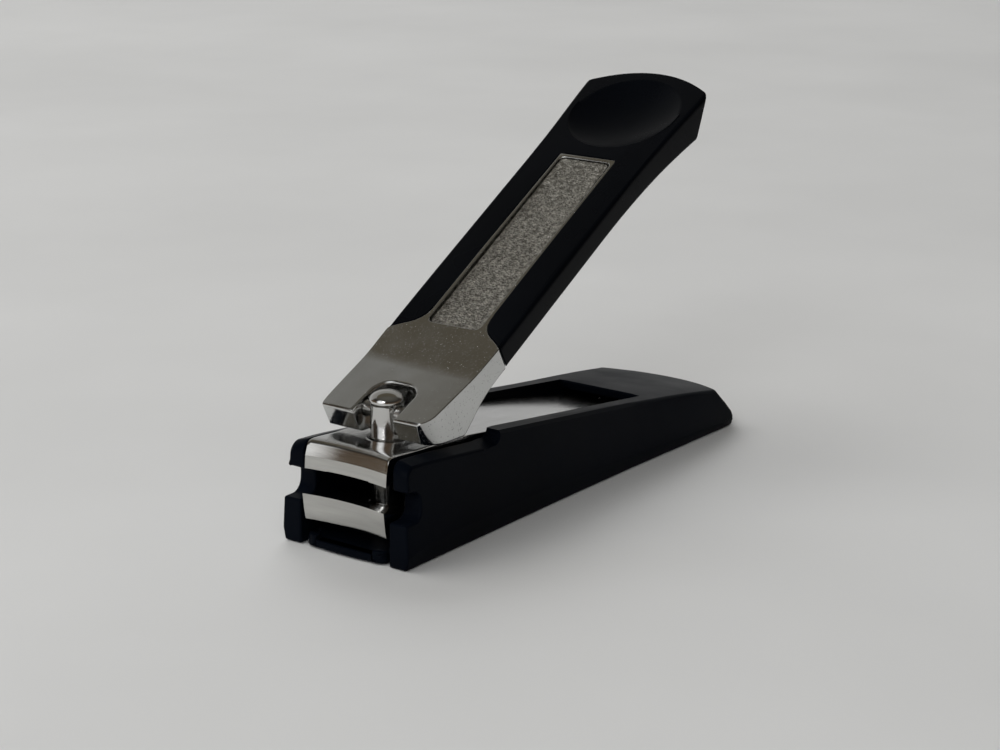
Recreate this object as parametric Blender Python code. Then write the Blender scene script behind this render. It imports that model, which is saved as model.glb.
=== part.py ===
"""Lever nail clipper with a slide-on catcher case.

Two sprung steel blades are riveted together at the tail and slide into a black
plastic case that catches the clippings. A headed post stands in both blades and
carries a cross axle. The lever turns on that axle: its steel fork bears on the
upper blade, and its handle is covered in plastic, with a file let into the top.

Every dimension is in millimetres, measured from the middle of the case's front
edge: x back towards the tail, y to the left, z up from the surface below.
The origin of the finished part is the middle of the case's flat base.
"""
import math

import bmesh
import bpy
from mathutils import Matrix, Vector

MM = 0.001
GAP = 0.3                     # clearance kept between neighbouring pieces

# Catcher case
CASE_LENGTH = 69.0
CASE_FLOOR = 1.0              # thickness of the floor
CASE_SKIN = 1.0               # thickness of the cover over the blades' tail
CASE_TOP_AT_FRONT = 13.15     # height of the case's top line, carried on to x = 0
CASE_TOP_FALL = 0.1235        # fall of that line per millimetre of length
WALL_INSIDE_FRONT = 5.95      # half the width between the walls, beside the jaws
WALL_INSIDE_REAR = 5.75       # the same, beside the rest of the blades
STEP_X = 17.2                 # where the low front walls step up
WINDOW_END = 48.9             # rear edge of the open top
POCKET_END = 58.6             # end of the pocket under the rear cover
NOTCH_LOW, NOTCH_HIGH, NOTCH_DEPTH = 5.0, 8.3, 2.1
UPPER_WALL_SETBACK = 0.65     # the walls stand back this far above the notch
WALL_TOP_SLOPE = 0.28         # outward fall of the low walls' top
LIP_HALF_WIDTH = 5.35
LIP_REACH = 0.6               # how far the front lip stands out of the walls
TAIL_BULGE = 2.8              # rise of the curved tail end, seen from above
TAIL_HALF_WIDTH = 9.0

# Blades
BLADE_HALF_WIDTH = 5.45
MID_AT_FRONT = 7.37           # height of the plane midway between the blades
MID_FALL = 0.0688             # its fall per millimetre of length
JAW_BOW = 0.55                # how far the middle of a cutting edge bows back
LOWER_JAW_LEAD = 0.35         # the lower jaw stands this far ahead of the upper
LOWER_JAW_DROP = 0.25         # and its face reaches this much lower
TAIL_PIVOT = (53.0, 3.72)     # x and z that the lower blade bends about
RIVET_X = (51.2, 55.0)
RIVET_RADIUS = 1.1

# Post and lever axle
POST_X = 7.35
POST_RADIUS = 1.8
POST_CAP_RADIUS = 1.95
POST_HEAD_RADIUS = 2.5
AXLE_Z = 14.2
AXLE_RADIUS = 0.75
AXLE_HALF_LENGTH = 4.6

# Lever: u along the handle, v to the left, w square to the handle's top,
# measured from the middle of the axle
LEVER_ANGLE = 29.5            # degrees that the handle is raised at rest
SLOT_HALF_WIDTH = 2.75
SLOT_END = 3.6
TONGUE_HALF_WIDTH = 3.85
TONGUE_END = 44.3
TONGUE_UNDERSIDE = -1.3
FILE_START, FILE_END, FILE_HALF_WIDTH = 13.5, 43.4, 3.5
FILE_RECESS = 1.1             # depth of the recess that holds the file
HANDLE_END = 58.3             # corner of the handle's end, at the top
DIMPLE_CENTRE_U = 52.75
DIMPLE_RADIUS = 7.2
DIMPLE_DEPTH = 0.95


# ---------------------------------------------------------------- helpers

def clear_scene():
    for item in list(bpy.data.objects):
        bpy.data.objects.remove(item, do_unlink=True)


def make_material(name, colour, roughness, metallic):
    material = bpy.data.materials.new(name)
    material.use_nodes = True
    shader = material.node_tree.nodes["Principled BSDF"]
    shader.inputs["Base Color"].default_value = (*colour, 1.0)
    shader.inputs["Roughness"].default_value = roughness
    shader.inputs["Metallic"].default_value = metallic
    return material


def add_empty(name, parent, location=(0, 0, 0), tilt=0.0):
    """An empty at a place in millimetres under its parent, tilted about Y in degrees."""
    empty = bpy.data.objects.new(name, None)
    bpy.context.collection.objects.link(empty)
    empty.empty_display_size = 5 * MM
    empty.parent = parent
    empty.location = Vector(location) * MM
    empty.rotation_euler = (0, math.radians(tilt), 0)
    return empty


def finish_object(name, bm, parent, material, pivot=(0, 0, 0), smooth=False):
    """Turn a mesh drawn in millimetres into an object whose origin is at the pivot."""
    bmesh.ops.recalc_face_normals(bm, faces=bm.faces)
    bmesh.ops.translate(bm, vec=-Vector(pivot), verts=bm.verts)
    bmesh.ops.scale(bm, vec=(MM, MM, MM), verts=bm.verts)
    mesh = bpy.data.meshes.new(name)
    bm.to_mesh(mesh)
    bm.free()
    if smooth:
        mesh.shade_smooth()
        mesh.set_sharp_from_angle(angle=math.radians(35))
    item = bpy.data.objects.new(name, mesh)
    bpy.context.collection.objects.link(item)
    item.parent = parent
    if material:
        mesh.materials.append(material)
    return item


def loft_mesh(rings):
    """A closed mesh through rings of points, each ring with the same count."""
    bm = bmesh.new()
    loops = [[bm.verts.new(point) for point in ring] for ring in rings]
    count = len(rings[0])
    for one, other in zip(loops, loops[1:]):
        for i in range(count):
            j = (i + 1) % count
            bm.faces.new((one[i], one[j], other[j], other[i]))
    bm.faces.new(loops[0])
    bm.faces.new(loops[-1])
    return bm


def side_prism(outline, low, high):
    """An outline of (x, z) points carried along Y from low to high."""
    return loft_mesh([[(x, y, z) for x, z in outline] for y in (low, high)])


def plan_prism(outline, low, high):
    """An outline of (x, y) points carried up from low to high."""
    return loft_mesh([[(x, y, z) for x, y in outline] for z in (low, high)])


def both_sides(half):
    """A plan outline from the points of its left half, front to back."""
    return half + [(x, -y) for x, y in reversed(half)]


def turned_mesh(profile, segments, centre=(0, 0)):
    """A solid turned about a vertical axis from (radius, z) points, bottom to top."""
    bm = bmesh.new()
    rings = []
    for radius, z in profile:
        if radius == 0:
            rings.append([bm.verts.new((centre[0], centre[1], z))])
            continue
        ring = []
        for i in range(segments):
            angle = 2 * math.pi * i / segments
            x = centre[0] + radius * math.cos(angle)
            y = centre[1] + radius * math.sin(angle)
            ring.append(bm.verts.new((x, y, z)))
        rings.append(ring)
    for low, high in zip(rings, rings[1:]):
        for i in range(segments):
            j = (i + 1) % segments
            corners = [low[i % len(low)], low[j % len(low)], high[j % len(high)], high[i % len(high)]]
            bm.faces.new(list(dict.fromkeys(corners)))
    for end in (rings[0], rings[-1]):
        if len(end) > 1:
            bm.faces.new(end)
    return bm


def upright_cylinder(radius, low, high, centre, segments=28):
    return turned_mesh([(radius, low), (radius, high)], segments, centre)


def cross_cylinder(radius, half_length, segments=24):
    """A cylinder along Y through the local origin."""
    bm = turned_mesh([(radius, -half_length), (radius, half_length)], segments)
    bmesh.ops.rotate(bm, matrix=Matrix.Rotation(math.pi / 2, 3, "X"), verts=bm.verts)
    return bm


def boolean(item, name, bm, operation="DIFFERENCE", offset=(0, 0, 0)):
    """Cut or join a mesh, drawn like the item's own, and keep it as a hidden guide."""
    cutter = finish_object(name, bm, item.parent, None)
    cutter.location = Vector(offset) * MM
    cutter.hide_render = True
    cutter.display_type = "WIRE"
    modifier = item.modifiers.new(name, "BOOLEAN")
    modifier.operation = operation
    modifier.object = cutter
    modifier.solver = "EXACT"


def arc(centre, radius, start, end, steps):
    """Points on an arc between two angles in degrees."""
    points = []
    for i in range(steps + 1):
        angle = math.radians(start + (end - start) * i / steps)
        points.append((centre[0] + radius * math.cos(angle), centre[1] + radius * math.sin(angle)))
    return points


def bulged_end(front, corner, half_width, bulge, steps=14):
    """A plan outline, a third wider than its corners, with a back end that bulges between them."""
    reach = 1.33
    outline = [(front, -half_width * reach)]
    for i in range(steps + 1):
        across = reach * (2 * i / steps - 1)
        outline.append((corner + bulge * (1 - across * across), across * half_width))
    outline.append((front, half_width * reach))
    return outline


# ---------------------------------------------------------------- catcher case

def case_top(x):
    return CASE_TOP_AT_FRONT - CASE_TOP_FALL * x


def case_section(x, widest, crease, top_half):
    """One cross-section: a narrow base, a crease at the widest line, and leaning walls."""
    half = [(widest - 0.25, 0), (widest, crease), (top_half, case_top(x))]
    mirrored = [(-y, z) for y, z in reversed(half)]
    return [(x, y, z) for y, z in half + mirrored]


def wall_low_cut():
    """What is taken off the walls in front of the step, with the rounded front corner."""
    radius = 1.3
    rounded = arc((UPPER_WALL_SETBACK + radius, 10.1), radius, 180, 95, 6)
    step = [(4.0, 11.25), (8.75, 10.8), (15.6, 10.15), (16.4, 10.25), (16.9, 10.6), (STEP_X + 0.2, 11.4)]
    above_notch = (UPPER_WALL_SETBACK, NOTCH_HIGH - 0.8)
    outline = [(-2, 20), (-2, above_notch[1]), above_notch] + rounded + step + [(STEP_X + 0.2, 20)]
    rings = []
    for y in (-12, -WALL_INSIDE_FRONT, WALL_INSIDE_FRONT, 12):
        fall = WALL_TOP_SLOPE * (abs(y) - WALL_INSIDE_FRONT)
        rings.append([(x, y, z - fall if z > 9 else z) for x, z in outline])
    return loft_mesh(rings)


def notch_outline():
    """The round-ended notch in both walls at the height of the jaws."""
    radius = (NOTCH_HIGH - NOTCH_LOW) / 2
    centre = (NOTCH_DEPTH - radius, (NOTCH_LOW + NOTCH_HIGH) / 2)
    return [(-2, NOTCH_LOW)] + arc(centre, radius, -90, 90, 12) + [(-2, NOTCH_HIGH)]


def front_lip():
    """The lip below the lower jaw: a bowed plate with a raised end at each side."""
    corner = 1.0
    plate = [(3.0, -LIP_HALF_WIDTH)]
    plate += [(corner - 0.3 + x, y + corner - LIP_HALF_WIDTH) for x, y in arc((0, 0), corner, 270, 180, 4)]
    plate += [(-0.5, -2.2), (-LIP_REACH, 0.0), (-0.5, 2.2)]
    plate += [(corner - 0.3 + x, y - corner + LIP_HALF_WIDTH) for x, y in arc((0, 0), corner, 180, 90, 4)]
    plate += [(3.0, LIP_HALF_WIDTH)]
    return plan_prism(plate, 0.0, 0.95)


def build_case(datum, material):
    stations = [(0.0, 8.5, 1.5, 7.65), (5.5, 8.55, 2.2, 7.7), (16.0, 8.55, 2.45, 7.75),
                (30.0, 8.6, 2.2, 7.8), (44.0, 8.8, 1.7, 7.85), (54.0, 9.1, 1.35, 8.25),
                (62.0, 9.3, 1.1, 8.7), (72.0, 9.4, 0.8, 9.1)]
    case = finish_object("catcher_case", loft_mesh([case_section(*s) for s in stations]), datum, material)

    ends = [(-1.0, 65.3), (0.0, 65.65), (1.25, 66.0), (1.95, 65.6), (5.3, 61.85), (15.0, 51.0)]
    tail = [[(x, y, z) for x, y in bulged_end(-5, corner, TAIL_HALF_WIDTH, TAIL_BULGE)]
            for z, corner in ends]
    boolean(case, "case_tail_guide", loft_mesh(tail), "INTERSECT")
    boolean(case, "case_low_wall_cutter", wall_low_cut())

    channel = both_sides([(-3, WALL_INSIDE_FRONT), (STEP_X, WALL_INSIDE_FRONT),
                          (STEP_X + 1.2, WALL_INSIDE_REAR), (WINDOW_END, WALL_INSIDE_REAR)])
    boolean(case, "case_channel_cutter", plan_prism(channel, CASE_FLOOR, 20))
    pocket = [(WINDOW_END - 2, CASE_FLOOR), (POCKET_END, CASE_FLOOR),
              (POCKET_END, case_top(POCKET_END) - CASE_SKIN),
              (WINDOW_END - 2, case_top(WINDOW_END - 2) - CASE_SKIN)]
    boolean(case, "case_pocket_cutter", side_prism(pocket, -WALL_INSIDE_REAR, WALL_INSIDE_REAR))
    boolean(case, "case_notch_cutter", side_prism(notch_outline(), -12, 12))

    for side in (-1, 1):
        slit = [(-2, side * LIP_HALF_WIDTH), (3.0, side * LIP_HALF_WIDTH),
                (3.0, side * WALL_INSIDE_FRONT), (-2, side * WALL_INSIDE_FRONT)]
        boolean(case, f"case_slit_cutter_{side + 2}", plan_prism(slit, -1, CASE_FLOOR + 0.5))
    boolean(case, "case_lip", front_lip(), "UNION")
    for side in (-1, 1):
        horn = [(-0.2, side * 3.8), (0.9, side * 3.8), (0.9, side * (LIP_HALF_WIDTH - 0.05)),
                (0.3, side * (LIP_HALF_WIDTH - 0.3)), (-0.2, side * (LIP_HALF_WIDTH - 1.0))]
        boolean(case, f"case_lip_horn_{side + 2}", plan_prism(horn, 0.4, 1.5), "UNION")
    return case


# ---------------------------------------------------------------- blades

def mid_height(x):
    return MID_AT_FRONT - MID_FALL * x


def upper_blade_outline():
    """Side outline of the upper blade, from the crest back along its top and home again."""
    top = [(0.8, 11.45), (4.2, 11.45), (6.0, 11.3), (9.0, 11.2), (13.0, 10.95), (17.5, 10.4), (25.0, 9.5),
           (33.4, 8.2), (40.1, 7.05), (49.0, 5.45), (56.5, 4.75)]
    underside = [(56.5, 3.65), (49.0, 4.17), (40.1, 5.5), (33.4, 6.6), (25.0, 7.9), (13.0, 9.35),
                 (5.0, 9.75), (2.6, 9.3), (0.9, 8.85)]
    jaw = [(0.15, 8.7), (0.42, 10.2)]
    return top + underside + jaw


def blade_mesh(outline):
    """Carry a side outline across the blade, bowing the jaw back in the middle."""
    rings = []
    steps = 12
    for i in range(steps + 1):
        across = 2 * i / steps - 1
        bow = JAW_BOW * (1 - across * across)
        ring = []
        for x, z in outline:
            share = min(max((4.0 - x) / 3.0, 0), 1)
            ring.append((x + bow * share, across * BLADE_HALF_WIDTH, z))
        rings.append(ring)
    return loft_mesh(rings)


def cut_rivet_holes(blade, name, offset=(0, 0, 0)):
    for index, x in enumerate(RIVET_X):
        hole = upright_cylinder(RIVET_RADIUS + GAP, 0, 12, (x, 0), 20)
        boolean(blade, f"{name}_rivet_hole_{index + 1}", hole, offset=offset)


def build_upper_blade(datum, material):
    blade = finish_object("upper_blade", blade_mesh(upper_blade_outline()), datum, material)
    hole = upright_cylinder(POST_RADIUS + 0.4, 5, 14, (POST_X + 0.1, 0))
    boolean(blade, "upper_post_hole", hole)
    cut_rivet_holes(blade, "upper")
    return blade


def build_lower_blade(axis, material):
    outline = []
    for x, z in reversed(upper_blade_outline()):
        lead = LOWER_JAW_LEAD if x < 1.0 else 0.0
        drop = LOWER_JAW_DROP if x < 1.0 and z > 10 else 0.0
        outline.append((x - lead, 2 * mid_height(x) - z - drop))
    pivot = (TAIL_PIVOT[0], 0, TAIL_PIVOT[1])
    away = tuple(-value for value in pivot)
    blade = finish_object("lower_blade", blade_mesh(outline), axis, material, pivot)
    hole = upright_cylinder(POST_RADIUS + GAP, 0, 8, (POST_X, 0))
    boolean(blade, "lower_post_hole", hole, offset=away)
    cut_rivet_holes(blade, "lower", away)
    return blade


def build_rivets(datum, material):
    for index, x in enumerate(RIVET_X):
        middle = mid_height(x)
        rivet = upright_cylinder(RIVET_RADIUS, middle - 1.3, middle + 1.3, (x, 0), 20)
        finish_object(f"tail_rivet_{index + 1}", rivet, datum, material, smooth=True)


# ---------------------------------------------------------------- post and axle

def build_post(axis, material):
    """The post: a flat head under the lower blade, a shank, an eye and a domed cap."""
    shank, cap = POST_RADIUS, POST_CAP_RADIUS
    profile = [(POST_HEAD_RADIUS - 0.2, 1.45), (POST_HEAD_RADIUS, 1.6), (POST_HEAD_RADIUS, 2.0),
               (shank, 2.0), (shank, 15.1), (cap - 0.1, 15.25), (cap, 15.4), (cap, 15.6),
               (cap - 0.2, 16.0), (cap - 0.7, 16.35), (0.6, 16.55), (0, 16.6)]
    post = finish_object("post_pin", turned_mesh(profile, 28), axis, material, smooth=True)
    eye = cross_cylinder(AXLE_RADIUS + GAP, 4)
    boolean(post, "post_eye_cutter", eye, offset=(0, 0, AXLE_Z))
    return post


def build_axle(hinge, material):
    axle = cross_cylinder(AXLE_RADIUS, AXLE_HALF_LENGTH)
    return finish_object("lever_axle", axle, hinge, material, smooth=True)


# ---------------------------------------------------------------- lever

def handle_top(u):
    return 0.44 - 0.0004 * (u - 22) ** 2


def handle_underside(u):
    return -2.4 - 0.003 * max(0, u - 32) ** 2


def lever_half_width(u):
    """Half the lever's width: nearly straight, then flaring round the thumb dimple."""
    flare = max(0, u - 40) ** 2 * 0.0027
    return 7.1 + min(u + 2.2, 13) * 0.037 + min(flare, 0.85)


def metal_boundary(gap=0.0):
    """Left half of the line where the bare fork meets the plastic cover."""
    points = [(11.5, 9.0), (11.5, 7.4), (12.3, 6.5), (12.9, 5.4), (13.7, 4.5), (15.0, 3.95)]
    return [(u + gap, v + gap) for u, v in points]


def fork_plan():
    front = [(-2.6, 5.7), (-2.0, 6.4), (-1.7, 6.8), (-1.0, lever_half_width(-1.0)),
             (11.5, lever_half_width(11.5))]
    return both_sides(front + metal_boundary()[2:] + [(TONGUE_END, TONGUE_HALF_WIDTH)])


def fork_side():
    """Side outline of the steel: the fork with its heel, then the thin tongue."""
    top = [(-2.0, 1.48), (6.3, 0.53), (7.5, 0.44), (11.5, 0.38)]
    top += [(u, handle_top(u)) for u in (16, 22, 30, 38, TONGUE_END)]
    tongue = [(TONGUE_END, TONGUE_UNDERSIDE), (15.1, TONGUE_UNDERSIDE), (14.9, -2.45)]
    heel = [(11.0, -2.55), (8.5, -2.65), (6.1, -3.1), (4.1, -3.75), (2.85, -4.3), (2.4, -4.35)]
    front = [(-2.15, -1.6), (-2.5, -1.1), (-2.3, 1.1)]
    return top + tongue + heel + front


def slot_plan():
    """The fork's slot: open in front, with a round-cornered end behind the post."""
    corner = 1.4
    centre = (SLOT_END - corner, SLOT_HALF_WIDTH - corner)
    half = [(-5, SLOT_HALF_WIDTH)] + arc(centre, corner, 90, 0, 5)
    return both_sides(half)


def build_lever_core(hinge, material):
    core = finish_object("lever_core", side_prism(fork_side(), -9, 9), hinge, material)
    boolean(core, "core_plan_guide", plan_prism(fork_plan(), -9, 9), "INTERSECT")
    boolean(core, "core_slot_cutter", plan_prism(slot_plan(), -9, 9))
    boolean(core, "core_axle_cutter", cross_cylinder(AXLE_RADIUS + GAP, AXLE_HALF_LENGTH + 0.4))
    half = [(FILE_START, FILE_HALF_WIDTH - 0.6), (FILE_START + 0.6, FILE_HALF_WIDTH),
            (FILE_END - 0.4, FILE_HALF_WIDTH), (FILE_END, FILE_HALF_WIDTH - 0.4)]
    recess = plan_prism(both_sides(half), handle_top(30) - FILE_RECESS, 5)
    boolean(core, "core_file_cutter", recess)
    return core


def build_lever_cover(hinge, material):
    lengths = (11, 16, 22, 30, 38, 43, 47, 50, 53, 56, 59, 63)
    outline = [(u, handle_top(u)) for u in lengths]
    outline += [(u, handle_underside(u)) for u in reversed(lengths)]
    cover = finish_object("lever_cover", side_prism(outline, -11, 11), hinge, material)

    widths = [(u, lever_half_width(u)) for u in (8, 20, 30, 40, 44, 48, 52, 56, 65)]
    boolean(cover, "cover_plan_guide", plan_prism(both_sides(widths), -9, 9), "INTERSECT")
    ends = [(-5.0, HANDLE_END - 5.6), (0.0, HANDLE_END), (3.0, HANDLE_END + 0.2)]
    tail = [[(u, v, w) for u, v in bulged_end(-5, corner, 9, 2.9)] for w, corner in ends]
    boolean(cover, "cover_end_guide", loft_mesh(tail), "INTERSECT")

    fork = [(5, 9.0)] + metal_boundary(GAP)
    boolean(cover, "cover_fork_cutter", plan_prism(both_sides(fork), -9, 9))
    side = TONGUE_HALF_WIDTH + GAP
    pocket = both_sides([(10, side), (TONGUE_END + GAP, side)])
    boolean(cover, "cover_tongue_cutter", plan_prism(pocket, TONGUE_UNDERSIDE - GAP, 5))

    lens = []
    ball = (DIMPLE_RADIUS ** 2 + DIMPLE_DEPTH ** 2) / (2 * DIMPLE_DEPTH)
    floor = handle_top(DIMPLE_CENTRE_U) - DIMPLE_DEPTH
    for i in range(6):
        radius = (DIMPLE_RADIUS + 1.2) * i / 5
        lens.append((radius, floor + ball - math.sqrt(ball * ball - radius * radius)))
    lens += [(DIMPLE_RADIUS + 1.2, floor + 4)]
    boolean(cover, "cover_dimple_cutter", turned_mesh(lens, 40, (DIMPLE_CENTRE_U, 0)))
    return cover


def build_file(hinge, material):
    start, end = FILE_START + GAP, FILE_END - GAP
    side = FILE_HALF_WIDTH - GAP
    half = [(start, side - 0.5), (start + 0.5, side), (end - 0.3, side), (end, side - 0.3)]
    bottom = handle_top(30) - FILE_RECESS + GAP
    return finish_object("nail_file", plan_prism(both_sides(half), bottom, bottom + 0.5), hinge, material)


# ---------------------------------------------------------------- assembly

def main():
    clear_scene()
    plastic = make_material("black_plastic", (0.012, 0.013, 0.017), 0.42, 0.0)
    steel = make_material("ground_steel", (0.66, 0.65, 0.63), 0.28, 1.0)
    chrome = make_material("chrome_plate", (0.60, 0.585, 0.56), 0.16, 1.0)
    grit = make_material("file_grit", (0.42, 0.41, 0.39), 0.55, 1.0)

    datum = add_empty("front_datum", None, (-CASE_LENGTH / 2, 0, 0))
    flex_axis = add_empty("blade_flex_axis", datum, (TAIL_PIVOT[0], 0, TAIL_PIVOT[1]))
    post_axis = add_empty("post_axis", datum, (POST_X, 0, 0))
    hinge = add_empty("lever_hinge", post_axis, (0, 0, AXLE_Z), -LEVER_ANGLE)

    build_case(datum, plastic)
    build_upper_blade(datum, steel)
    build_lower_blade(flex_axis, steel)
    build_rivets(datum, steel)
    build_post(post_axis, chrome)
    build_axle(hinge, steel)
    build_lever_core(hinge, chrome)
    build_lever_cover(hinge, plastic)
    build_file(hinge, grit)


main()
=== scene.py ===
"""Looks for the lever nail clipper in its catcher case.

The pieces are modelled in millimetres from the middle of the case's front edge:
x back along the case, y to the left and z up. They are put in the assembly's
frame, in metres, when they are finished. Lever pieces are modelled along the
handle: u back along it, v to the left and w square to its top, measured from
the middle of the cross axle.
"""

import math

import bmesh
import bpy
from mathutils import Matrix, Vector


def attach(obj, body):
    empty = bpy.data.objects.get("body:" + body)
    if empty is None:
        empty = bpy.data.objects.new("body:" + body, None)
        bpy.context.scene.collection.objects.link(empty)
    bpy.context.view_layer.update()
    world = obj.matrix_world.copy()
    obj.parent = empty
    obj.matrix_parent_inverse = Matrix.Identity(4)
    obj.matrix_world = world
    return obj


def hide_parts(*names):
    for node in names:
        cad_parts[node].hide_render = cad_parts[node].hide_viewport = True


MM = 0.001
FRONT_X = -34.5      # the case's front edge, in the assembly's frame
POST_X = 7.35        # the post's axis, behind the case's front edge
AXLE_Z = 14.2        # the middle of the lever's cross axle
LEVER_ANGLE = 29.5   # how far the lever is raised, in degrees
CLEAR = 12           # beyond the clipper's sides, for cuts that go right through

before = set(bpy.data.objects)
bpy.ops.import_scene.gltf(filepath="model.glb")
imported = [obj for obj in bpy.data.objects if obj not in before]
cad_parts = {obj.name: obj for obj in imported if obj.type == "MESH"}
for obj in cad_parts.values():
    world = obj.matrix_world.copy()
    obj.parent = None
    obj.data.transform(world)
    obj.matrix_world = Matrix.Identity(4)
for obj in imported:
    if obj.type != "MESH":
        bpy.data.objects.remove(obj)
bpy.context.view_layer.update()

CASE_PLACE = Matrix.Scale(MM, 4) @ Matrix.Translation((FRONT_X, 0, 0))
POST_PLACE = CASE_PLACE @ Matrix.Translation((POST_X, 0, 0))
LEVER_PLACE = (POST_PLACE @ Matrix.Translation((0, 0, AXLE_Z))
               @ Matrix.Rotation(math.radians(-LEVER_ANGLE), 4, "Y"))


# ---------------------------------------------------------------- mesh helpers

def slope_at(points, k):
    (x0, y0), (x1, y1) = points[max(k - 1, 0)], points[min(k + 1, len(points) - 1)]
    return (y1 - y0) / (x1 - x0)


def ease(points, x):
    """A smooth curve through (x, value) points, read at x."""
    if x <= points[0][0]:
        return points[0][1]
    if x >= points[-1][0]:
        return points[-1][1]
    i = max(k for k in range(len(points) - 1) if points[k][0] <= x)
    (x0, y0), (x1, y1) = points[i], points[i + 1]
    width = x1 - x0
    t = (x - x0) / width
    level = y0 * (2 * t ** 3 - 3 * t ** 2 + 1) + y1 * (3 * t ** 2 - 2 * t ** 3)
    rise = (slope_at(points, i) * (t ** 3 - 2 * t ** 2 + t)
            + slope_at(points, i + 1) * (t ** 3 - t ** 2))
    return level + rise * width


def steps(low, high, count):
    """Evenly spaced numbers, both ends included."""
    return [low + (high - low) * i / count for i in range(count + 1)]


def arc(centre, radius, start, end, count):
    """Points on an arc, between two angles in degrees."""
    points = []
    for angle in steps(math.radians(start), math.radians(end), count):
        x = centre[0] + radius * math.cos(angle)
        y = centre[1] + radius * math.sin(angle)
        points.append((x, y))
    return points


def loft(rings):
    """A solid with faces between neighbouring rings, and a flat face at each end."""
    bm = bmesh.new()
    loops = [[bm.verts.new(point) for point in ring] for ring in rings]
    count = len(rings[0])
    for one, other in zip(loops, loops[1:]):
        for i in range(count):
            j = (i + 1) % count
            bm.faces.new((one[i], one[j], other[j], other[i]))
    bm.faces.new(loops[0])
    bm.faces.new(loops[-1])
    bmesh.ops.recalc_face_normals(bm, faces=bm.faces)
    return bm


def side_prism(outline, low, high):
    """A solid with one outline all the way across, from y = low to y = high."""
    return loft([[(x, y, z) for x, z in outline] for y in (low, high)])


def plan_prism(outline, low, high):
    """A solid with one outline all the way up, from z = low to z = high."""
    return loft([[(x, y, z) for x, y in outline] for z in (low, high)])


def both_sides(half):
    """A closed plan outline from its left half, with the right half mirrored."""
    return half + [(x, -y) for x, y in reversed(half)]


def both_sides_of_section(half):
    """A closed cross-section from its left half, with the right half mirrored."""
    return half + [(-y, z) for y, z in reversed(half)]


def turned(profile, segments, centre=(0, 0)):
    """A solid turned about a vertical axis from (radius, z) points, bottom to top."""
    bm = bmesh.new()
    angles = steps(0, 2 * math.pi, segments)[:-1]
    rings = []
    for radius, z in profile:
        if radius == 0:
            rings.append([bm.verts.new((centre[0], centre[1], z))])
            continue
        ring = []
        for a in angles:
            x = centre[0] + radius * math.cos(a)
            y = centre[1] + radius * math.sin(a)
            ring.append(bm.verts.new((x, y, z)))
        rings.append(ring)
    for low, high in zip(rings, rings[1:]):
        for i in range(segments):
            j = (i + 1) % segments
            corners = [low[i % len(low)], low[j % len(low)],
                       high[j % len(high)], high[i % len(high)]]
            bm.faces.new(list(dict.fromkeys(corners)))
    for end in (rings[0], rings[-1]):
        if len(end) > 1:
            bm.faces.new(end)
    bmesh.ops.recalc_face_normals(bm, faces=bm.faces)
    return bm


def hole(radius, low, high, x, segments=48):
    """An upright cylinder on the middle line, for cutting a round hole."""
    return turned([(radius, low), (radius, high)], segments, (x, 0))


def cross_cylinder(radius, half_length, segments=40, edge=0.0):
    """A cylinder lying across the clipper, its ends cut back by the edge's width."""
    profile = [(radius, -half_length), (radius, half_length)]
    if edge:
        profile = [(radius - edge, -half_length), (radius, edge - half_length),
                   (radius, half_length - edge), (radius - edge, half_length)]
    bm = turned(profile, segments)
    bmesh.ops.rotate(bm, matrix=Matrix.Rotation(math.pi / 2, 3, "X"), verts=bm.verts)
    return bm


def holder(bm, name="shape"):
    """An object in the scene that holds the mesh."""
    mesh = bpy.data.meshes.new(name)
    bm.to_mesh(mesh)
    bm.free()
    item = bpy.data.objects.new(name, mesh)
    bpy.context.scene.collection.objects.link(item)
    return item


def combined(bm, changes, flat=0.4):
    """The mesh after a list of (operation, mesh) Booleans.

    Faces that meet at less than the flat angle, in degrees, are joined into one.
    """
    base = holder(bm)
    cutters = []
    for operation, other in changes:
        cutter = holder(other, "cutter")
        cutters.append(cutter)
        modifier = base.modifiers.new("cut", "BOOLEAN")
        modifier.operation = operation
        modifier.object = cutter
        modifier.solver = "EXACT"
    bpy.context.view_layer.update()
    evaluated = base.evaluated_get(bpy.context.evaluated_depsgraph_get())
    result = bmesh.new()
    result.from_mesh(evaluated.data)
    for item in [base] + cutters:
        bpy.data.objects.remove(item, do_unlink=True)
    bmesh.ops.remove_doubles(result, verts=result.verts, dist=0.002)
    bmesh.ops.dissolve_limit(result, angle_limit=math.radians(flat),
                             verts=result.verts, edges=result.edges)
    return result


def rounded_edges(bm, width, segments=3, angle=28, chosen=None):
    """Round the mesh's sharp edges, or those of them that chosen(edge) picks."""
    limit = math.radians(angle)
    edges = [e for e in bm.edges if len(e.link_faces) == 2 and e.calc_face_angle(0) > limit]
    if chosen:
        edges = [e for e in edges if chosen(e)]
    bmesh.ops.bevel(bm, geom=edges, offset=width, offset_type="OFFSET", segments=segments,
                    profile=0.5, affect="EDGES", clamp_overlap=False, miter_outer="ARC")


def finished(name, bm, place, body, material, stands_for, smooth_angle=32):
    """Put a modelled piece in the assembly's frame and tie it to its body."""
    bmesh.ops.transform(bm, matrix=place, verts=bm.verts)
    bmesh.ops.recalc_face_normals(bm, faces=bm.faces)
    item = holder(bm, name)
    item.data.shade_smooth()
    item.data.set_sharp_from_angle(angle=math.radians(smooth_angle))
    weighted = item.modifiers.new("face_weighted", "WEIGHTED_NORMAL")
    weighted.keep_sharp = True
    item.data.materials.append(material)
    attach(item, body)
    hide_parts(stands_for)
    return item


# ---------------------------------------------------------------- materials

def shaded(colour, share):
    return tuple(share * c for c in colour)


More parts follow.
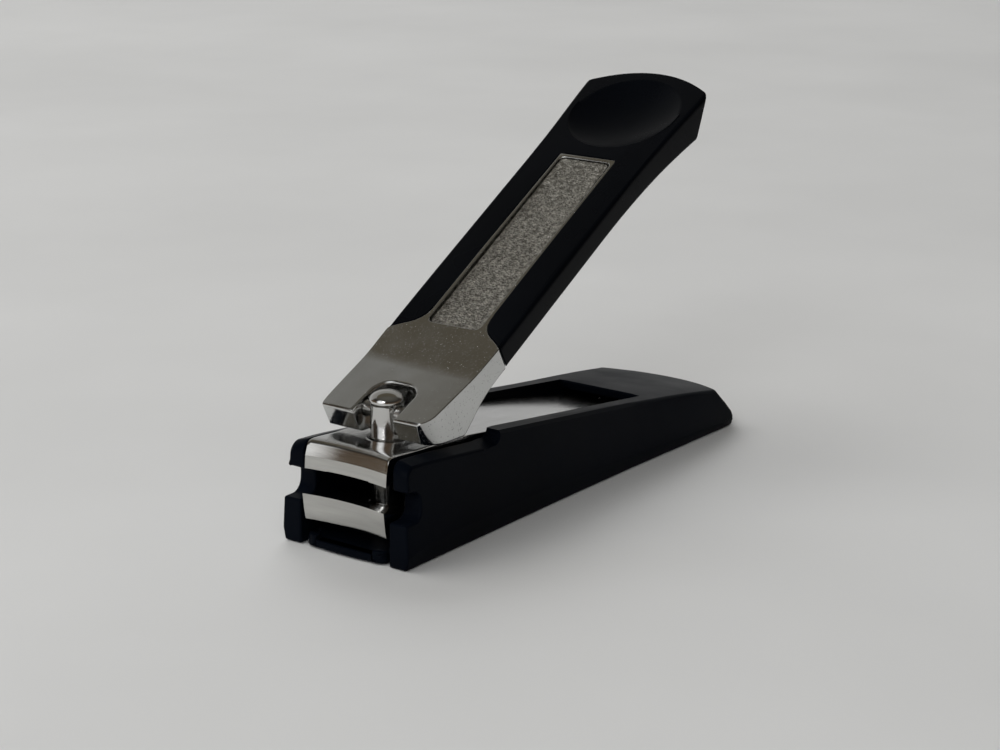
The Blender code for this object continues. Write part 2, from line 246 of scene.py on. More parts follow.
class Nodes:
    """A material and the steps for building its shader tree."""

    def __init__(self, name):
        self.material = bpy.data.materials.new(name)
        self.material.use_nodes = True
        self.tree = self.material.node_tree
        self.shader = self.tree.nodes["Principled BSDF"]
        self.place = self.add("ShaderNodeTexCoord").outputs["Object"]

    def add(self, kind, **values):
        """A new node, with values for its sockets or its settings."""
        node = self.tree.nodes.new(kind)
        for key, value in values.items():
            if key in node.inputs:
                node.inputs[key].default_value = value
            else:
                setattr(node, key, value)
        return node

    def link(self, start, end):
        self.tree.links.new(start, end)

    def drive(self, socket, output):
        """Feed one of the shader's sockets from another node."""
        self.link(output, self.shader.inputs[socket])

    def set(self, **values):
        """Put plain values on the shader's own sockets; an underscore stands for a space."""
        for key, value in values.items():
            self.shader.inputs[key.replace("_", " ")].default_value = value

    def stretched(self, scale):
        node = self.add("ShaderNodeMapping")
        node.inputs["Scale"].default_value = scale
        self.link(self.place, node.inputs["Vector"])
        return node.outputs["Vector"]

    def noise(self, scale, detail=3.0, roughness=0.55, vector=None):
        node = self.add("ShaderNodeTexNoise", Scale=scale, Detail=detail, Roughness=roughness)
        self.link(vector or self.place, node.inputs["Vector"])
        return node.outputs["Fac"]

    def ramp(self, factor, low, high, start=0.3, end=0.7):
        """A blend between two colours, or two grey levels, over part of a 0 to 1 factor."""
        node = self.add("ShaderNodeValToRGB")
        for stop, place, value in zip(node.color_ramp.elements, (start, end), (low, high)):
            stop.position = place
            colour = (value,) * 3 if isinstance(value, (int, float)) else value
            stop.color = (*colour, 1)
        self.link(factor, node.inputs["Fac"])
        return node.outputs["Color"]

    def bump(self, height, strength, distance, below=None):
        """A bump, on top of the one below it if there is one."""
        node = self.add("ShaderNodeBump", Strength=strength, Distance=distance)
        self.link(height, node.inputs["Height"])
        if below is not None:
            self.link(below, node.inputs["Normal"])
        return node.outputs["Normal"]


def moulded_plastic(name, tint, low, high, gloss):
    """Satin black moulding: a fine grain, with soft changes of sheen from handling."""
    n = Nodes(name)
    n.drive("Roughness", n.ramp(n.noise(140, 3), low, high))
    n.drive("Base Color", n.ramp(n.noise(60, 2), tint, shaded(tint, 1.7)))
    waves = n.bump(n.noise(160, 2, vector=n.stretched((0.4, 1, 1))), 0.12, 0.0001)
    n.drive("Normal", n.bump(n.noise(2600, 2), 0.10, 0.00002, waves))
    n.set(Metallic=0.0, IOR=1.46, Specular_IOR_Level=gloss)
    return n.material


def chrome_plate(name, tint, low, high, speck):
    """Bright plating over pressed steel, with pin-prick specks and a faint ripple."""
    n = Nodes(name)
    specks = n.ramp(n.noise(5200, 1), 0.0, 1.0, 0.68, 0.74)
    ripple = n.bump(n.noise(210, 2), 0.05, 0.00012)
    n.drive("Normal", n.bump(specks, speck, 0.00004, ripple))
    n.drive("Roughness", n.ramp(n.noise(300, 3), low, high))
    n.drive("Base Color", n.ramp(n.noise(90, 2), tint, shaded(tint, 0.9)))
    n.set(Metallic=1.0)
    return n.material


def ground_steel(name, tint, low, high, across):
    """Ground steel with fine wheel marks, running across the blade or along it."""
    n = Nodes(name)
    run = n.stretched((1.0, 0.035, 1.0) if across else (0.03, 1.0, 0.6))
    marks = n.noise(7000, 2, vector=run)
    broad = n.noise(1500, 2, vector=run)
    n.drive("Normal", n.bump(marks, 0.05, 0.00001, n.bump(broad, 0.04, 0.00002)))
    n.drive("Roughness", n.ramp(marks, low, high))
    n.drive("Base Color", n.ramp(broad, tint, shaded(tint, 0.86)))
    n.set(Metallic=1.0)
    return n.material


def file_grit(name):
    """Crushed grit set in plating: close-packed grains that each catch the light."""
    n = Nodes(name)
    grains = n.add("ShaderNodeTexVoronoi", Scale=3300.0, Randomness=1.0)
    n.link(n.place, grains.inputs["Vector"])
    lumps = n.noise(2000, 4, 0.7)
    fine = n.noise(7000, 3, 0.7)
    rough = n.bump(lumps, 0.9, 0.0002, n.bump(grains.outputs["Distance"], 0.75, 0.00022))
    n.drive("Normal", n.bump(fine, 0.5, 0.00006, rough))
    n.drive("Base Color", n.ramp(lumps, (0.24, 0.228, 0.20), (0.80, 0.775, 0.72), 0.38, 0.62))
    n.drive("Roughness", n.ramp(fine, 0.28, 0.5))
    n.set(Metallic=1.0)
    return n.material


CASE_BLACK = (0.0013, 0.0021, 0.0040)
COVER_BLACK = (0.0012, 0.0016, 0.0025)
CASE_PLASTIC = moulded_plastic("case_black_plastic", CASE_BLACK, 0.30, 0.40, 0.032)
COVER_PLASTIC = moulded_plastic("cover_black_plastic", COVER_BLACK, 0.24, 0.34, 0.06)
CHROME = chrome_plate("lever_chrome", (0.595, 0.60, 0.59), 0.09, 0.17, 0.6)
POST_CHROME = chrome_plate("post_chrome", (0.66, 0.655, 0.64), 0.06, 0.12, 0.1)
JAW_STEEL = ground_steel("jaw_steel", (0.56, 0.555, 0.53), 0.10, 0.18, True)
BLADE_STEEL = ground_steel("blade_steel", (0.68, 0.68, 0.675), 0.12, 0.2, False)
PIN_STEEL = chrome_plate("pin_steel", (0.58, 0.575, 0.56), 0.16, 0.26, 0.1)
GRIT = file_grit("file_grit_surface")


# ---------------------------------------------------------------- case
# The first three lists run back along the case: its half width at the crease, the
# crease's height, and its half width at the top.

WIDEST = [(0, 8.5), (16, 8.55), (30, 8.6), (44, 8.8), (54, 9.1), (62, 9.3), (72, 9.4)]
CREASE = [(0, 1.35), (1, 1.68), (3, 1.95), (5.5, 2.2), (9, 2.35), (14, 2.47), (24, 2.38),
          (32, 2.15), (44, 1.66), (58, 1.2), (66, 0.85), (72, 0.7)]
TOP_HALF = [(0, 7.65), (5.5, 7.7), (16, 7.75), (30, 7.8), (44, 7.85), (52, 8.15), (58, 8.45),
            (62, 8.65), (72, 9.0)]
CASE_LENGTH = 71
INSIDE_FRONT = 5.95    # half the inside width at the jaws
INSIDE_REAR = 5.75     # and behind the step in the walls
STEP_START, STEP_END = 17.2, 18.4
WINDOW_REAR = 48.9
POCKET_FRONT, POCKET_REAR = 46.9, 58.6
FLOOR_TOP = 1.0
LIP_HALF, LIP_CORNER = 5.35, 1.0
NOTCH_LOW, NOTCH_HIGH = 5.0, 8.3
NOTCH_DEPTH, NOTCH_CORNER = 2.6, 1.25
WALL_PROFILE = [(4.0, 11.36), (6.0, 11.18), (8.75, 10.9), (12.0, 10.55), (15.0, 10.25),
                (16.1, 10.18), (16.7, 10.32), (17.1, 10.65), (17.3, 11.1), (17.4, 11.6)]
TAIL_CORNERS = [(-1, 65.2), (0, 65.5), (0.5, 65.8), (1.3, 65.95), (1.9, 65.6), (3.4, 63.95),
                (4.8, 62.35), (5.2, 61.85), (15, 50.5)]


def case_top(x):
    return 13.15 - 0.1235 * x - 0.0016 * max(0, x - 50) ** 2


def case_ring(x):
    """The case's cross-section, as if it were solid."""
    widest, crease, top_half = ease(WIDEST, x), ease(CREASE, x), ease(TOP_HALF, x)
    top = case_top(x)
    middle = 0.5 * (widest + top_half) + 0.06
    half = [(widest - 0.3, 0.05), (widest - 0.04, crease - 0.12), (widest - 0.01, crease + 0.15),
            (middle, 0.5 * (crease + top)), (top_half + 0.02, top - 0.35),
            (top_half - 0.32, top), (0.55 * top_half, top + 0.05)]
    return [(x, y, z) for y, z in both_sides_of_section(half)]


def end_cutter(corners, half_width, bulge, corner_start, corner_fall):
    """A block with a curved rear face, for trimming a rounded end.

    Each corner is (height, how far back the face's corners are at that height).
    """
    rings = []
    for z, corner in corners:
        outline = [(-5, -CLEAR)]
        for y in steps(-CLEAR, CLEAR, 48):
            swell = bulge * (1 - (y / half_width) ** 2)
            outline.append((corner + swell - corner_fall * max(0, abs(y) - corner_start) ** 2, y))
        outline.append((-5, CLEAR))
        rings.append([(x, y, z) for x, y in outline])
    return loft(rings)


def low_wall_cut():
    """What is taken off the walls ahead of the step, sloping outwards at the top."""
    outline = [(-2, 20), (-2, 7.4), (0.62, 7.4)] + arc((1.92, 10.2), 1.3, 180, 96, 10)
    outline += [(x, ease(WALL_PROFILE, x)) for x in steps(4.0, 15.0, 12) + steps(15.5, 17.4, 12)]
    outline.append((17.45, 20))
    rings = []
    for y in (-CLEAR, -INSIDE_FRONT, INSIDE_FRONT, CLEAR):
        fall = 0.28 * (abs(y) - INSIDE_FRONT)
        rings.append([(x, y, z - fall if z > 9 else z) for x, z in outline])
    return loft(rings)


def notch():
    """The round-cornered notch in both walls, beside the jaws."""
    middle = NOTCH_DEPTH - NOTCH_CORNER
    top = arc((middle, NOTCH_HIGH - NOTCH_CORNER), NOTCH_CORNER, 0, 90, 6)
    bottom = arc((middle, NOTCH_LOW + NOTCH_CORNER), NOTCH_CORNER, -90, 0, 6)
    return [(-2, NOTCH_LOW)] + bottom + top + [(-2, NOTCH_HIGH)]


def lip():
    """The thin plate at the front of the floor, with a slight bulge."""
    front = -0.1
    middle = (front + LIP_CORNER, LIP_CORNER - LIP_HALF)
    bulge = [(front - 0.22 * (1 - (y / 4.2) ** 2), y) for y in steps(-4.1, 4.1, 10)]
    right = [(3.0, -LIP_HALF)] + arc(middle, LIP_CORNER, 270, 180, 6)
    left = [(x, -y) for x, y in reversed(right)]
    return plan_prism(right + bulge + left, 0.2, 1.0)


def front_floor():
    """The changes that leave the lip standing alone between two slits, with a horn at each end."""
    changes = []
    for side in (-1, 1):
        inner, outer = side * LIP_HALF, side * INSIDE_FRONT
        slit = [(-2, inner), (3.0, inner), (3.0, outer), (-2, outer)]
        changes.append(("DIFFERENCE", plan_prism(slit, -1, 1.5)))
    room = [(-2, -5.4), (2.9, -5.4), (2.9, 5.4), (-2, 5.4)]
    changes.append(("DIFFERENCE", plan_prism(room, -1, 1.2)))
    changes.append(("UNION", lip()))
    for side in (-1, 1):
        horn = [(-0.15, 3.8), (0.9, 3.8), (0.9, 5.3), (0.3, 5.05), (-0.15, 4.3)]
        changes.append(("UNION", plan_prism([(x, side * y) for x, y in horn], 0.4, 1.45)))
    return changes


def near_step(edge):
    return any(14.9 < v.co.x < 19.6 and v.co.z > 9.0 for v in edge.verts)


def on_lip(edge):
    return all(v.co.z < 1.6 and abs(v.co.y) < 5.6 for v in edge.verts)


def build_case():
    solid = loft([case_ring(x) for x in steps(0, CASE_LENGTH, 44)])
    channel = both_sides([(-3, INSIDE_FRONT), (STEP_START, INSIDE_FRONT),
                          (STEP_END, INSIDE_REAR), (WINDOW_REAR, INSIDE_REAR)])
    pocket = [(POCKET_FRONT, FLOOR_TOP), (POCKET_REAR, FLOOR_TOP),
              (POCKET_REAR, case_top(POCKET_REAR) - 1),
              (POCKET_FRONT, case_top(POCKET_FRONT) - 1)]
    shell = combined(solid, [
        ("INTERSECT", end_cutter(TAIL_CORNERS, 9, 2.8, 8.0, 0.2)),
        ("DIFFERENCE", low_wall_cut()),
        ("DIFFERENCE", plan_prism(channel, FLOOR_TOP, 20)),
        ("DIFFERENCE", side_prism(pocket, -INSIDE_REAR, INSIDE_REAR)),
        ("DIFFERENCE", side_prism(notch(), -CLEAR, CLEAR))] + front_floor())
    rounded_edges(shell, 0.12, 2, 30, on_lip)
    rounded_edges(shell, 0.26, 3, 42, lambda e: not near_step(e) and not on_lip(e))
    finished("catcher_case_shell", shell, CASE_PLACE, "case", CASE_PLASTIC,
             "catcher_case")


# ---------------------------------------------------------------- blades

BLADE_TOP = [(1.35, 11.64), (1.8, 11.65), (2.6, 11.6), (4.0, 11.48), (5.5, 11.37), (7.35, 11.28),
             (9.0, 11.2), (13.0, 10.95), (17.5, 10.4), (25.0, 9.5), (33.4, 8.2), (40.1, 7.05),
             (49.0, 5.45), (56.5, 4.75)]
BLADE_UNDER = [(2.6, 9.3), (5.0, 9.72), (8.0, 9.7), (13.0, 9.35), (25.0, 7.9), (33.4, 6.6),
               (40.1, 5.5), (49.0, 4.17), (56.5, 3.65)]
UPPER_JAW = [(0.75, 8.74), (0.2, 8.62), (0.3, 9.96), (0.32, 10.04), (0.65, 11.2),
             (0.72, 11.36), (0.85, 11.49), (1.05, 11.59)]
LOWER_JAW = [(0.75, 8.9), (0.16, 8.8), (0.4, 10.6), (0.55, 11.35), (0.68, 11.68), (0.9, 11.82)]
BLADE_HALF = 5.45          # half the blades' width
JAW_BOW = 0.55             # how far the jaws' middle stands behind their corners
JAW_DEPTH = 1.25           # how far back the jaws are ground across
BLADE_REAR = 56.5
UPPER_POST_HOLE, LOWER_POST_HOLE, RIVET_HOLE = 2.2, 2.1, 1.4   # radii
TAIL_RIVETS_X = (51.2, 55.0)


def blade_outline(jaw):
    """The upper blade's side outline, with either blade's jaw."""
    top = [(x, ease(BLADE_TOP, x)) for x in steps(1.3, 8.5, 14) + steps(9.5, BLADE_REAR, 36)]
    under = [(x, ease(BLADE_UNDER, x)) for x in reversed(steps(2.6, BLADE_REAR, 40))]
    return top + under + jaw


def between_blades(x):
    """The height of the plane that the two blades mirror each other in."""
    return 7.37 - 0.0688 * x


def turned_over(outline):
    """The lower blade's outline: the upper one mirrored, with its jaw further forwards."""
    result = []
    for x, z in outline:
        lead = 0.38 if x < 1.2 else 0.0
        result.append((x - lead, 2 * between_blades(x) - z))
    return list(reversed(result))


def blade_mesh(outline):
    """The outline drawn across the blade, with the jaw's edge curved."""
    rings = []
    for y in steps(-BLADE_HALF, BLADE_HALF, 28):
        bow = JAW_BOW * (1 - (y / BLADE_HALF) ** 2)
        ring = []
        for x, z in outline:
            share = min(max((4.5 - x) / 3.5, 0), 1)
            ring.append((x + bow * share, y, z))
        rings.append(ring)
    return loft(rings)


def build_blade(node, body, outline, post_hole):
    """One blade, standing for a CAD node, with the steel of its jaw ground across."""
    changes = [("DIFFERENCE", post_hole)]
    changes += [("DIFFERENCE", hole(RIVET_HOLE, 0, 12, x, 24)) for x in TAIL_RIVETS_X]
    blade = combined(blade_mesh(outline), changes, 0.01)
    rounded_edges(blade, 0.11, 2, 40, lambda e: all(v.co.x > 0.6 for v in e.verts))
    item = finished(node + "_ground", blade, CASE_PLACE, body, BLADE_STEEL, node, 24)
    item.data.materials.append(JAW_STEEL)
    for face in item.data.polygons:
        if face.center.x < (FRONT_X + JAW_DEPTH) * MM:
            face.material_index = 1


def build_blades():
    upper, lower = blade_outline(UPPER_JAW), turned_over(blade_outline(LOWER_JAW))
    build_blade("upper_blade", "blade_frame", upper, hole(UPPER_POST_HOLE, 5, 14, POST_X + 0.1))
    build_blade("lower_blade", "lower_arm", lower, hole(LOWER_POST_HOLE, 0, 8, POST_X))


# ---------------------------------------------------------------- post and axle

POST_FOOT = [(2.2, 1.45), (2.4, 1.5), (2.5, 1.62), (2.5, 1.9), (2.42, 2.0), (1.95, 2.0)]
POST_SHANK = [(1.84, 2.06), (1.8, 2.2), (1.8, 14.95), (1.82, 15.1), (1.88, 15.2), (1.93, 15.3),
              (1.95, 15.4)]
CAP_RADIUS, CAP_BASE, CAP_RISE, CAP_TOP = 1.95, 15.42, 1.13, 16.55
POST_EYE, AXLE_RADIUS, FORK_HOLE = 0.9, 0.88, 0.98
AXLE_HALF_LENGTH = 4.6


def post_cap():
    """The domed cap, from just above its rim to its top point."""
    points = []
    for angle in steps(8, 90, 12)[:-1]:
        a = math.radians(angle)
        points.append((CAP_RADIUS * math.cos(a), CAP_BASE + CAP_RISE * math.sin(a)))
    return points + [(0, CAP_TOP)]


def build_post():
    eye = cross_cylinder(POST_EYE, 4)
    bmesh.ops.translate(eye, vec=(0, 0, AXLE_Z), verts=eye.verts)
    post = combined(turned(POST_FOOT + POST_SHANK + post_cap(), 64), [("DIFFERENCE", eye)])
    finished("post_turned", post, POST_PLACE, "post", POST_CHROME, "post_pin", 40)
    axle = cross_cylinder(AXLE_RADIUS, AXLE_HALF_LENGTH, 48, 0.15)
    finished("lever_axle_pin", axle, LEVER_PLACE, "lever_hinge", PIN_STEEL,
             "lever_axle")


# ---------------------------------------------------------------- lever
# The handle's half width and the line where the cover meets the steel are seen from
# above; the fork's top, heel and prong tip are seen from the side.

HANDLE_HALF = [(-3, 7.05), (4, 7.3), (11.5, 7.57), (20, 7.6), (30, 7.62), (40, 7.66), (46, 7.8),
               (50, 8.02), (54, 8.3), (58, 8.52), (64, 8.7)]
METAL_EDGE = [(11.4, 7.9), (11.6, 7.4), (12.05, 6.8), (12.45, 6.2), (12.8, 5.6), (13.25, 5.0),
              (13.8, 4.5), (14.5, 4.15), (15.4, 3.97)]
FORK_TOP = [(-1.9, 1.46), (5.9, 0.57), (6.5, 0.51), (7.1, 0.47), (7.8, 0.44), (11.5, 0.4)]
FORK_HEEL = [(15.1, -1.3), (14.9, -2.45), (13.0, -2.5), (11.0, -2.55), (9.7, -2.58), (8.4, -2.68),
             (7.2, -2.86), (6.1, -3.12), (5.1, -3.42), (4.2, -3.74), (3.4, -4.0), (2.8, -4.19),
             (2.35, -4.22), (1.9, -3.96)]
PRONG_TIP = [(-1.7, -1.92), (-2.1, -1.62), (-2.42, -1.15), (-2.25, 1.1), (-2.12, 1.38)]
ROUND_CORNER = [(-2.6, 5.5), (-2.3, 5.8), (-1.95, 6.3), (-1.5, 6.72), (-1.0, 6.98), (-0.4, 7.12)]
SQUARE_CORNER = [(-2.6, 6.2), (-2.4, 6.6), (-2.1, 6.85), (-1.7, 6.98), (-1.0, 7.07), (-0.4, 7.12)]
TONGUE_END, TONGUE_HALF, TONGUE_UNDER = 43.75, 3.86, -1.3
FORK_SLOPE = 0.113         # how fast the fork's top rises towards the front
FILE_U = 30                # the middle of the file
RECESS_SINK, FILE_SINK, FILE_THICKNESS = 1.1, 1.06, 0.78
WINDOW_HALF, WINDOW_END, WINDOW_CORNER = 3.88, 43.8, 0.7
WINDOW_FRONT_HALF = 4.05   # wider, where the steel fills the window's front end
SLOT_HALF, SLOT_END, SLOT_CORNER = 2.66, 3.4, 1.9
SLOT_FLARE = [(0.8, 0.0), (1.15, 0.05), (1.33, 0.13), (1.45, 0.24), (2.6, 1.9)]
COVER_CORNERS = [(-6, 51.0), (-3.4, 53.9), (-0.4, 57.25), (0.0, 57.7), (0.2, 57.85), (3, 58.05)]
DIMPLE_CENTRE, DIMPLE_DEPTH, DIMPLE_RADIUS = 52.75, 1.25, 7.1
DIMPLE_LENGTH, DIMPLE_STEEPNESS, DIMPLE_RIM = 0.965, 2.3, 0.5


def handle_top(u):
    return 0.44 - 0.0004 * (u - 22) ** 2


def handle_under(u):
    return -2.55 - 0.003 * max(0, u - 32) ** 2


def metal_edge(gap):
    """Where the cover's front edge meets the steel, moved back by a gap."""
    return [(u + gap, v + gap) for u, v in METAL_EDGE]


def round_ended(start, end, half, corner, count):
    """A long plan outline with rounded corners, for the file and its recess."""
    front = arc((start + corner, half - corner), corner, 180, 90, count)
    rear = arc((end - corner, half - corner), corner, 90, 0, count)
    return both_sides(front + rear)


def slot_outline(spread):
    """The fork's slot, open at the front, widened all round by a spread."""
    middle = (SLOT_END - SLOT_CORNER, SLOT_HALF - SLOT_CORNER)
    return both_sides([(-5, SLOT_HALF + spread)] + arc(middle, SLOT_CORNER + spread, 90, 0, 10))


def fork_side():
    top = FORK_TOP + [(u, handle_top(u)) for u in steps(14, TONGUE_END, 14)]
    return top + [(TONGUE_END, TONGUE_UNDER)] + FORK_HEEL + PRONG_TIP


def fork_plan():
    flank = [(u, ease(HANDLE_HALF, u)) for u in (2, 5, 8, 10, 11.3)] + metal_edge(0)[1:]
    flank.append((TONGUE_END, TONGUE_HALF))
    right = [(u, -v) for u, v in reversed(ROUND_CORNER + flank)]
    return SQUARE_CORNER + flank + right


def slot_flare():
    """A soft edge round the top of the slot, following the fork's slope."""
    rings = []
    for w, spread in SLOT_FLARE:
        rings.append([(u, v, w - FORK_SLOPE * (u + 2)) for u, v in slot_outline(spread)])
    return loft(rings)


def on_low_side(edge):
    return all(v.co.z < -1.5 and abs(v.co.y) > 6 for v in edge.verts)


def above_heel(edge):
    return not all(v.co.z < -1.0 for v in edge.verts)


def build_fork():
    recess = round_ended(13.5, 43.2, 3.5, 0.75, 6)
    recess_bed = handle_top(FILE_U) - RECESS_SINK
    fork = combined(side_prism(fork_side(), -9, 9), [
        ("INTERSECT", plan_prism(fork_plan(), -9, 9)),
        ("DIFFERENCE", plan_prism(slot_outline(0), -9, 9)),
        ("DIFFERENCE", slot_flare()),
        ("DIFFERENCE", cross_cylinder(FORK_HOLE, 5.0)),
        ("DIFFERENCE", plan_prism(recess, recess_bed, 5))])
    rounded_edges(fork, 0.3, 3, 40, on_low_side)
    rounded_edges(fork, 0.13, 3, 34, above_heel)
    finished("lever_fork_plated", fork, LEVER_PLACE, "lever", CHROME, "lever_core")


def cover_ring(u):
    """The cover's cross-section, as if it were solid."""
    half, top, under = ease(HANDLE_HALF, u), handle_top(u), handle_under(u)
    side = [(0.5 * half, top + 0.02), (half - 0.5, top), (half - 0.3, top - 0.03),
            (half - 0.1, top - 0.12), (half - 0.01, top - 0.32), (half + 0.02, top - 0.6),
            (half, 0.5 * (top + under)), (half - 0.02, under + 0.5), (half - 0.12, under + 0.2),
            (half - 0.4, under)]
    return [(u, v, w) for v, w in both_sides_of_section(side)]


def thumb_dimple():
    """A shallow bowl with a quick turn at its rim, slightly longer across than along."""
    level = handle_top(DIMPLE_CENTRE)
    angles = steps(0, 2 * math.pi, 72)[:-1]
    rings = []
    for share in steps(0.0, 1.0, 14)[1:]:
        r = share * (DIMPLE_RADIUS + DIMPLE_RIM)
        inside = min(1.0, r / DIMPLE_RADIUS)
        sink = DIMPLE_DEPTH * (1 - inside ** DIMPLE_STEEPNESS)
        w = level - sink + max(0, r - DIMPLE_RADIUS) * 1.6
        rings.append([(DIMPLE_CENTRE + DIMPLE_LENGTH * r * math.cos(a), r * math.sin(a), w)
                      for a in angles])
    lift = [(DIMPLE_CENTRE + (u - DIMPLE_CENTRE) * 1.05, v * 1.05, 4.0) for u, v, _ in rings[-1]]
    return loft(rings + [lift])


def cover_window():
    """The opening in the cover for the file, open to the steel at the front."""
    front = [(9, WINDOW_FRONT_HALF), (15.6, WINDOW_FRONT_HALF), (16.2, WINDOW_HALF)]
    middle = (WINDOW_END - WINDOW_CORNER, WINDOW_HALF - WINDOW_CORNER)
    return both_sides(front + arc(middle, WINDOW_CORNER, 90, 0, 6))


def build_cover():
    solid = loft([cover_ring(u) for u in steps(10.5, 64, 44)])
    cover = combined(solid, [
        ("INTERSECT", end_cutter(COVER_CORNERS, 8.8, 3.05, 8.0, 0.4)),
        ("DIFFERENCE", plan_prism(cover_window(), TONGUE_UNDER - 0.04, 5)),
        ("DIFFERENCE", thumb_dimple())])
    fork = both_sides([(5, 10.0), (11.3, 9.5)] + metal_edge(0.04))
    cover = combined(cover, [("DIFFERENCE", plan_prism(fork, -9, 9))])
    rounded_edges(cover, 0.12, 2, 30)
    finished("lever_cover_moulded", cover, LEVER_PLACE, "lever", COVER_PLASTIC,
             "lever_cover")


def build_file():
    low = handle_top(FILE_U) - FILE_SINK
    plate = plan_prism(round_ended(13.7, 43.0, 3.3, 0.6, 5), low, low + FILE_THICKNESS)
    rounded_edges(plate, 0.06, 2, 40)
    finished("nail_file_grit", plate, LEVER_PLACE, "lever", GRIT, "nail_file")


def plate_rivets():
    """The two tail rivets keep their CAD shape and take the pins' steel."""
    for name in ("tail_rivet_1", "tail_rivet_2"):
        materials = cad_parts[name].data.materials
        materials.clear()
        materials.append(PIN_STEEL)


# ---------------------------------------------------------------- stage, light and camera

def build_floor():
    bm = bmesh.new()
    bmesh.ops.create_grid(bm, x_segments=1, y_segments=1, size=2.0)
    floor = holder(bm, "floor")
    n = Nodes("pale_floor")
    n.drive("Base Color", n.ramp(n.noise(14, 3), (0.68, 0.685, 0.685), (0.73, 0.735, 0.735)))
    n.drive("Normal", n.bump(n.noise(160, 4), 0.06, 0.0003))
    n.set(Roughness=0.75, Specular_IOR_Level=0.2)
    floor.data.materials.append(n.material)


def area_light(name, place, target, size, watts, colour, reflected):
    light = bpy.data.lights.new(name, "AREA")
    light.shape = "RECTANGLE"
    light.size, light.size_y = size
    light.energy = watts
    light.color = colour
    item = bpy.data.objects.new(name, light)
    bpy.context.scene.collection.objects.link(item)
    item.location = place
    aim = Vector(target) - Vector(place)
    item.rotation_euler = aim.to_track_quat("-Z", "Y").to_euler()
    item.visible_glossy = reflected


BLACK, WHITE = (0, 0, 0), (1, 1, 1)
NEAR_ROOM = [(0.0, (0.30, 0.29, 0.27)), (0.06, (0.14, 0.105, 0.075)),
             (0.3, (0.085, 0.062, 0.044)), (0.5, (0.03, 0.027, 0.024)),
             (1.0, (0.11, 0.105, 0.09))]
FAR_ROOM = [(0.0, (0.46, 0.46, 0.455)), (0.25, (0.42, 0.42, 0.415)),
            (0.55, (0.31, 0.305, 0.29)), (0.742, (0.27, 0.267, 0.255)),
            (0.764, (0.112, 0.098, 0.073)), (1.0, (0.09, 0.08, 0.062))]
TOWARDS_FAR_WALL = (0.72, 0.69, 0.35)
TOWARDS_WINDOW = (-0.93, 0.05, 0.38)


class Room:
    """The world's shader tree, coloured by direction: up it, and towards one side or another."""

    def __init__(self, world):
        world.use_nodes = True
        self.tree = world.node_tree
        self.back = self.tree.nodes["Background"]
        self.way = self.tree.nodes.new("ShaderNodeTexCoord").outputs["Generated"]

    def height(self):
        node = self.tree.nodes.new("ShaderNodeSeparateXYZ")
        self.tree.links.new(self.way, node.inputs["Vector"])
        return node.outputs["Z"]

    def towards(self, direction):
        node = self.tree.nodes.new("ShaderNodeVectorMath")
        node.operation = "DOT_PRODUCT"
        node.inputs[1].default_value = Vector(direction).normalized()
        self.tree.links.new(self.way, node.inputs[0])
        return node.outputs["Value"]

    def ramp(self, stops, factor):
        node = self.tree.nodes.new("ShaderNodeValToRGB")
        band = node.color_ramp
        while len(band.elements) < len(stops):
            band.elements.new(0.5)
        for element, (position, colour) in zip(band.elements, stops):
            element.position = position
            element.color = (*colour, 1)
        self.tree.links.new(factor, node.inputs["Fac"])
        return node.outputs["Color"]

    def colour(self, value):
        node = self.tree.nodes.new("ShaderNodeRGB")
        node.outputs["Color"].default_value = (*value, 1)
        return node.outputs["Color"]

    def mix(self, factor, one, other):
        node = self.tree.nodes.new("ShaderNodeMix")
        node.data_type = "RGBA"
        self.tree.links.new(factor, node.inputs["Factor"])
        self.tree.links.new(one, node.inputs["A"])
        self.tree.links.new(other, node.inputs["B"])
        return node.outputs["Result"]


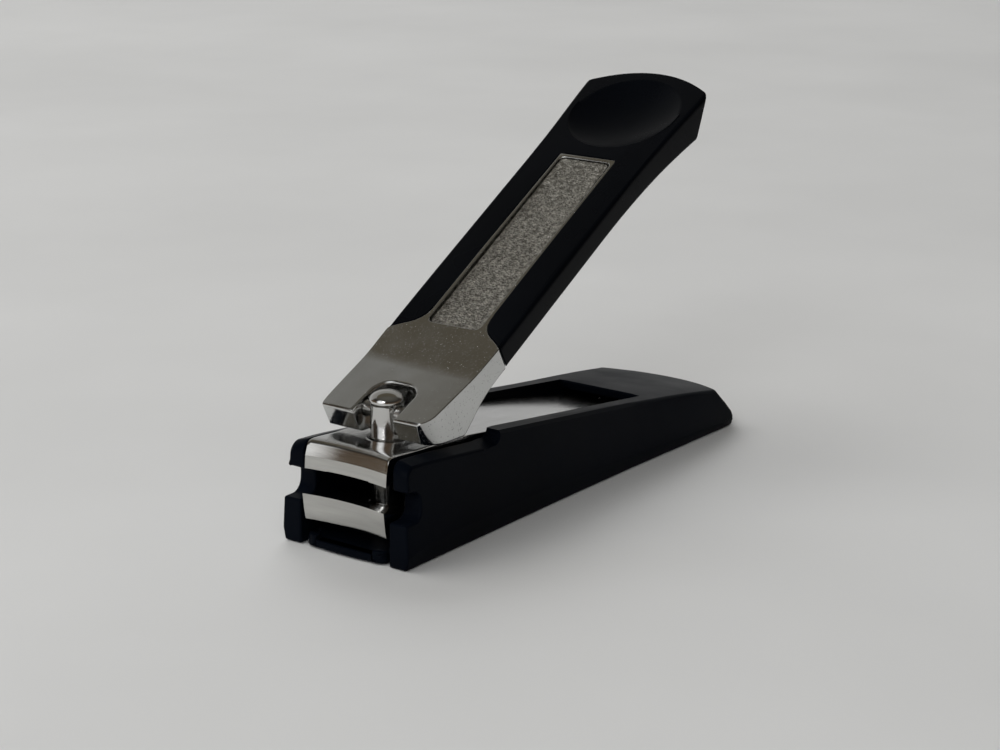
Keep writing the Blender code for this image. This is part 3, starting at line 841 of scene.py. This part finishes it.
def build_world():
    """A dim, warm room with a pale wall on the far side and a window, for the metal to reflect."""
    world = bpy.data.worlds.new("room")
    bpy.context.scene.world = world
    room = Room(world)
    height = room.height()
    far_side = room.ramp([(0.42, BLACK), (0.62, WHITE)], room.towards(TOWARDS_FAR_WALL))
    window = room.ramp([(0.86, BLACK), (0.97, WHITE)], room.towards(TOWARDS_WINDOW))
    walls = room.mix(far_side, room.ramp(NEAR_ROOM, height), room.ramp(FAR_ROOM, height))
    whole = room.mix(window, walls, room.colour((1.35, 1.37, 1.4)))
    room.tree.links.new(whole, room.back.inputs["Color"])
    room.back.inputs["Strength"].default_value = 1.0


CAMERA_PLACE = (-0.21413, -0.14699, 0.08670)
CAMERA_YAW, CAMERA_PITCH, CAMERA_ROLL = 35.29, 16.06, 0.65
CAMERA_LENS = 84.17


def build_camera():
    """The eye is low over the front left corner, with a long lens."""
    yaw, pitch = math.radians(CAMERA_YAW), math.radians(CAMERA_PITCH)
    roll = math.radians(CAMERA_ROLL)
    flat = math.cos(pitch)
    ahead = Vector((math.cos(yaw) * flat, math.sin(yaw) * flat, -math.sin(pitch)))
    level = Vector((math.sin(yaw), -math.cos(yaw), 0))
    upright = level.cross(ahead)
    right = math.cos(roll) * level + math.sin(roll) * upright
    up = -math.sin(roll) * level + math.cos(roll) * upright
    turn = Matrix((right, up, -ahead)).transposed().to_4x4()
    data = bpy.data.cameras.new("camera")
    data.lens = CAMERA_LENS
    data.sensor_width = 36.0
    data.sensor_fit = "HORIZONTAL"
    data.clip_start = 0.005
    data.clip_end = 20.0
    camera = bpy.data.objects.new("camera", data)
    bpy.context.scene.collection.objects.link(camera)
    camera.matrix_world = Matrix.Translation(CAMERA_PLACE) @ turn
    bpy.context.scene.camera = camera


def build_lights():
    middle = (0, 0, 0)
    area_light("key", (-0.25, 0.40, 0.62), middle, (0.55, 0.55), 2.15, (1, 0.99, 0.97), False)
    area_light("fill", (-0.45, -0.35, 0.55), middle, (0.5, 0.5), 0.95, (0.98, 0.99, 1), False)
    area_light("back", (1.3, 1.2, 1.1), (1.0, 0.9, 0), (1.4, 1.4), 19.0, WHITE, False)
    area_light("lamp", (-0.42, -0.10, 0.30), (0, 0, 0.01), (0.10, 0.06), 0.16, WHITE, True)


def build_stage():
    build_floor()
    build_world()
    build_lights()
    bpy.context.scene.view_settings.view_transform = "Standard"
    build_camera()


def main():
    build_case()
    build_blades()
    build_post()
    build_fork()
    build_cover()
    build_file()
    plate_rivets()
    build_stage()


main()
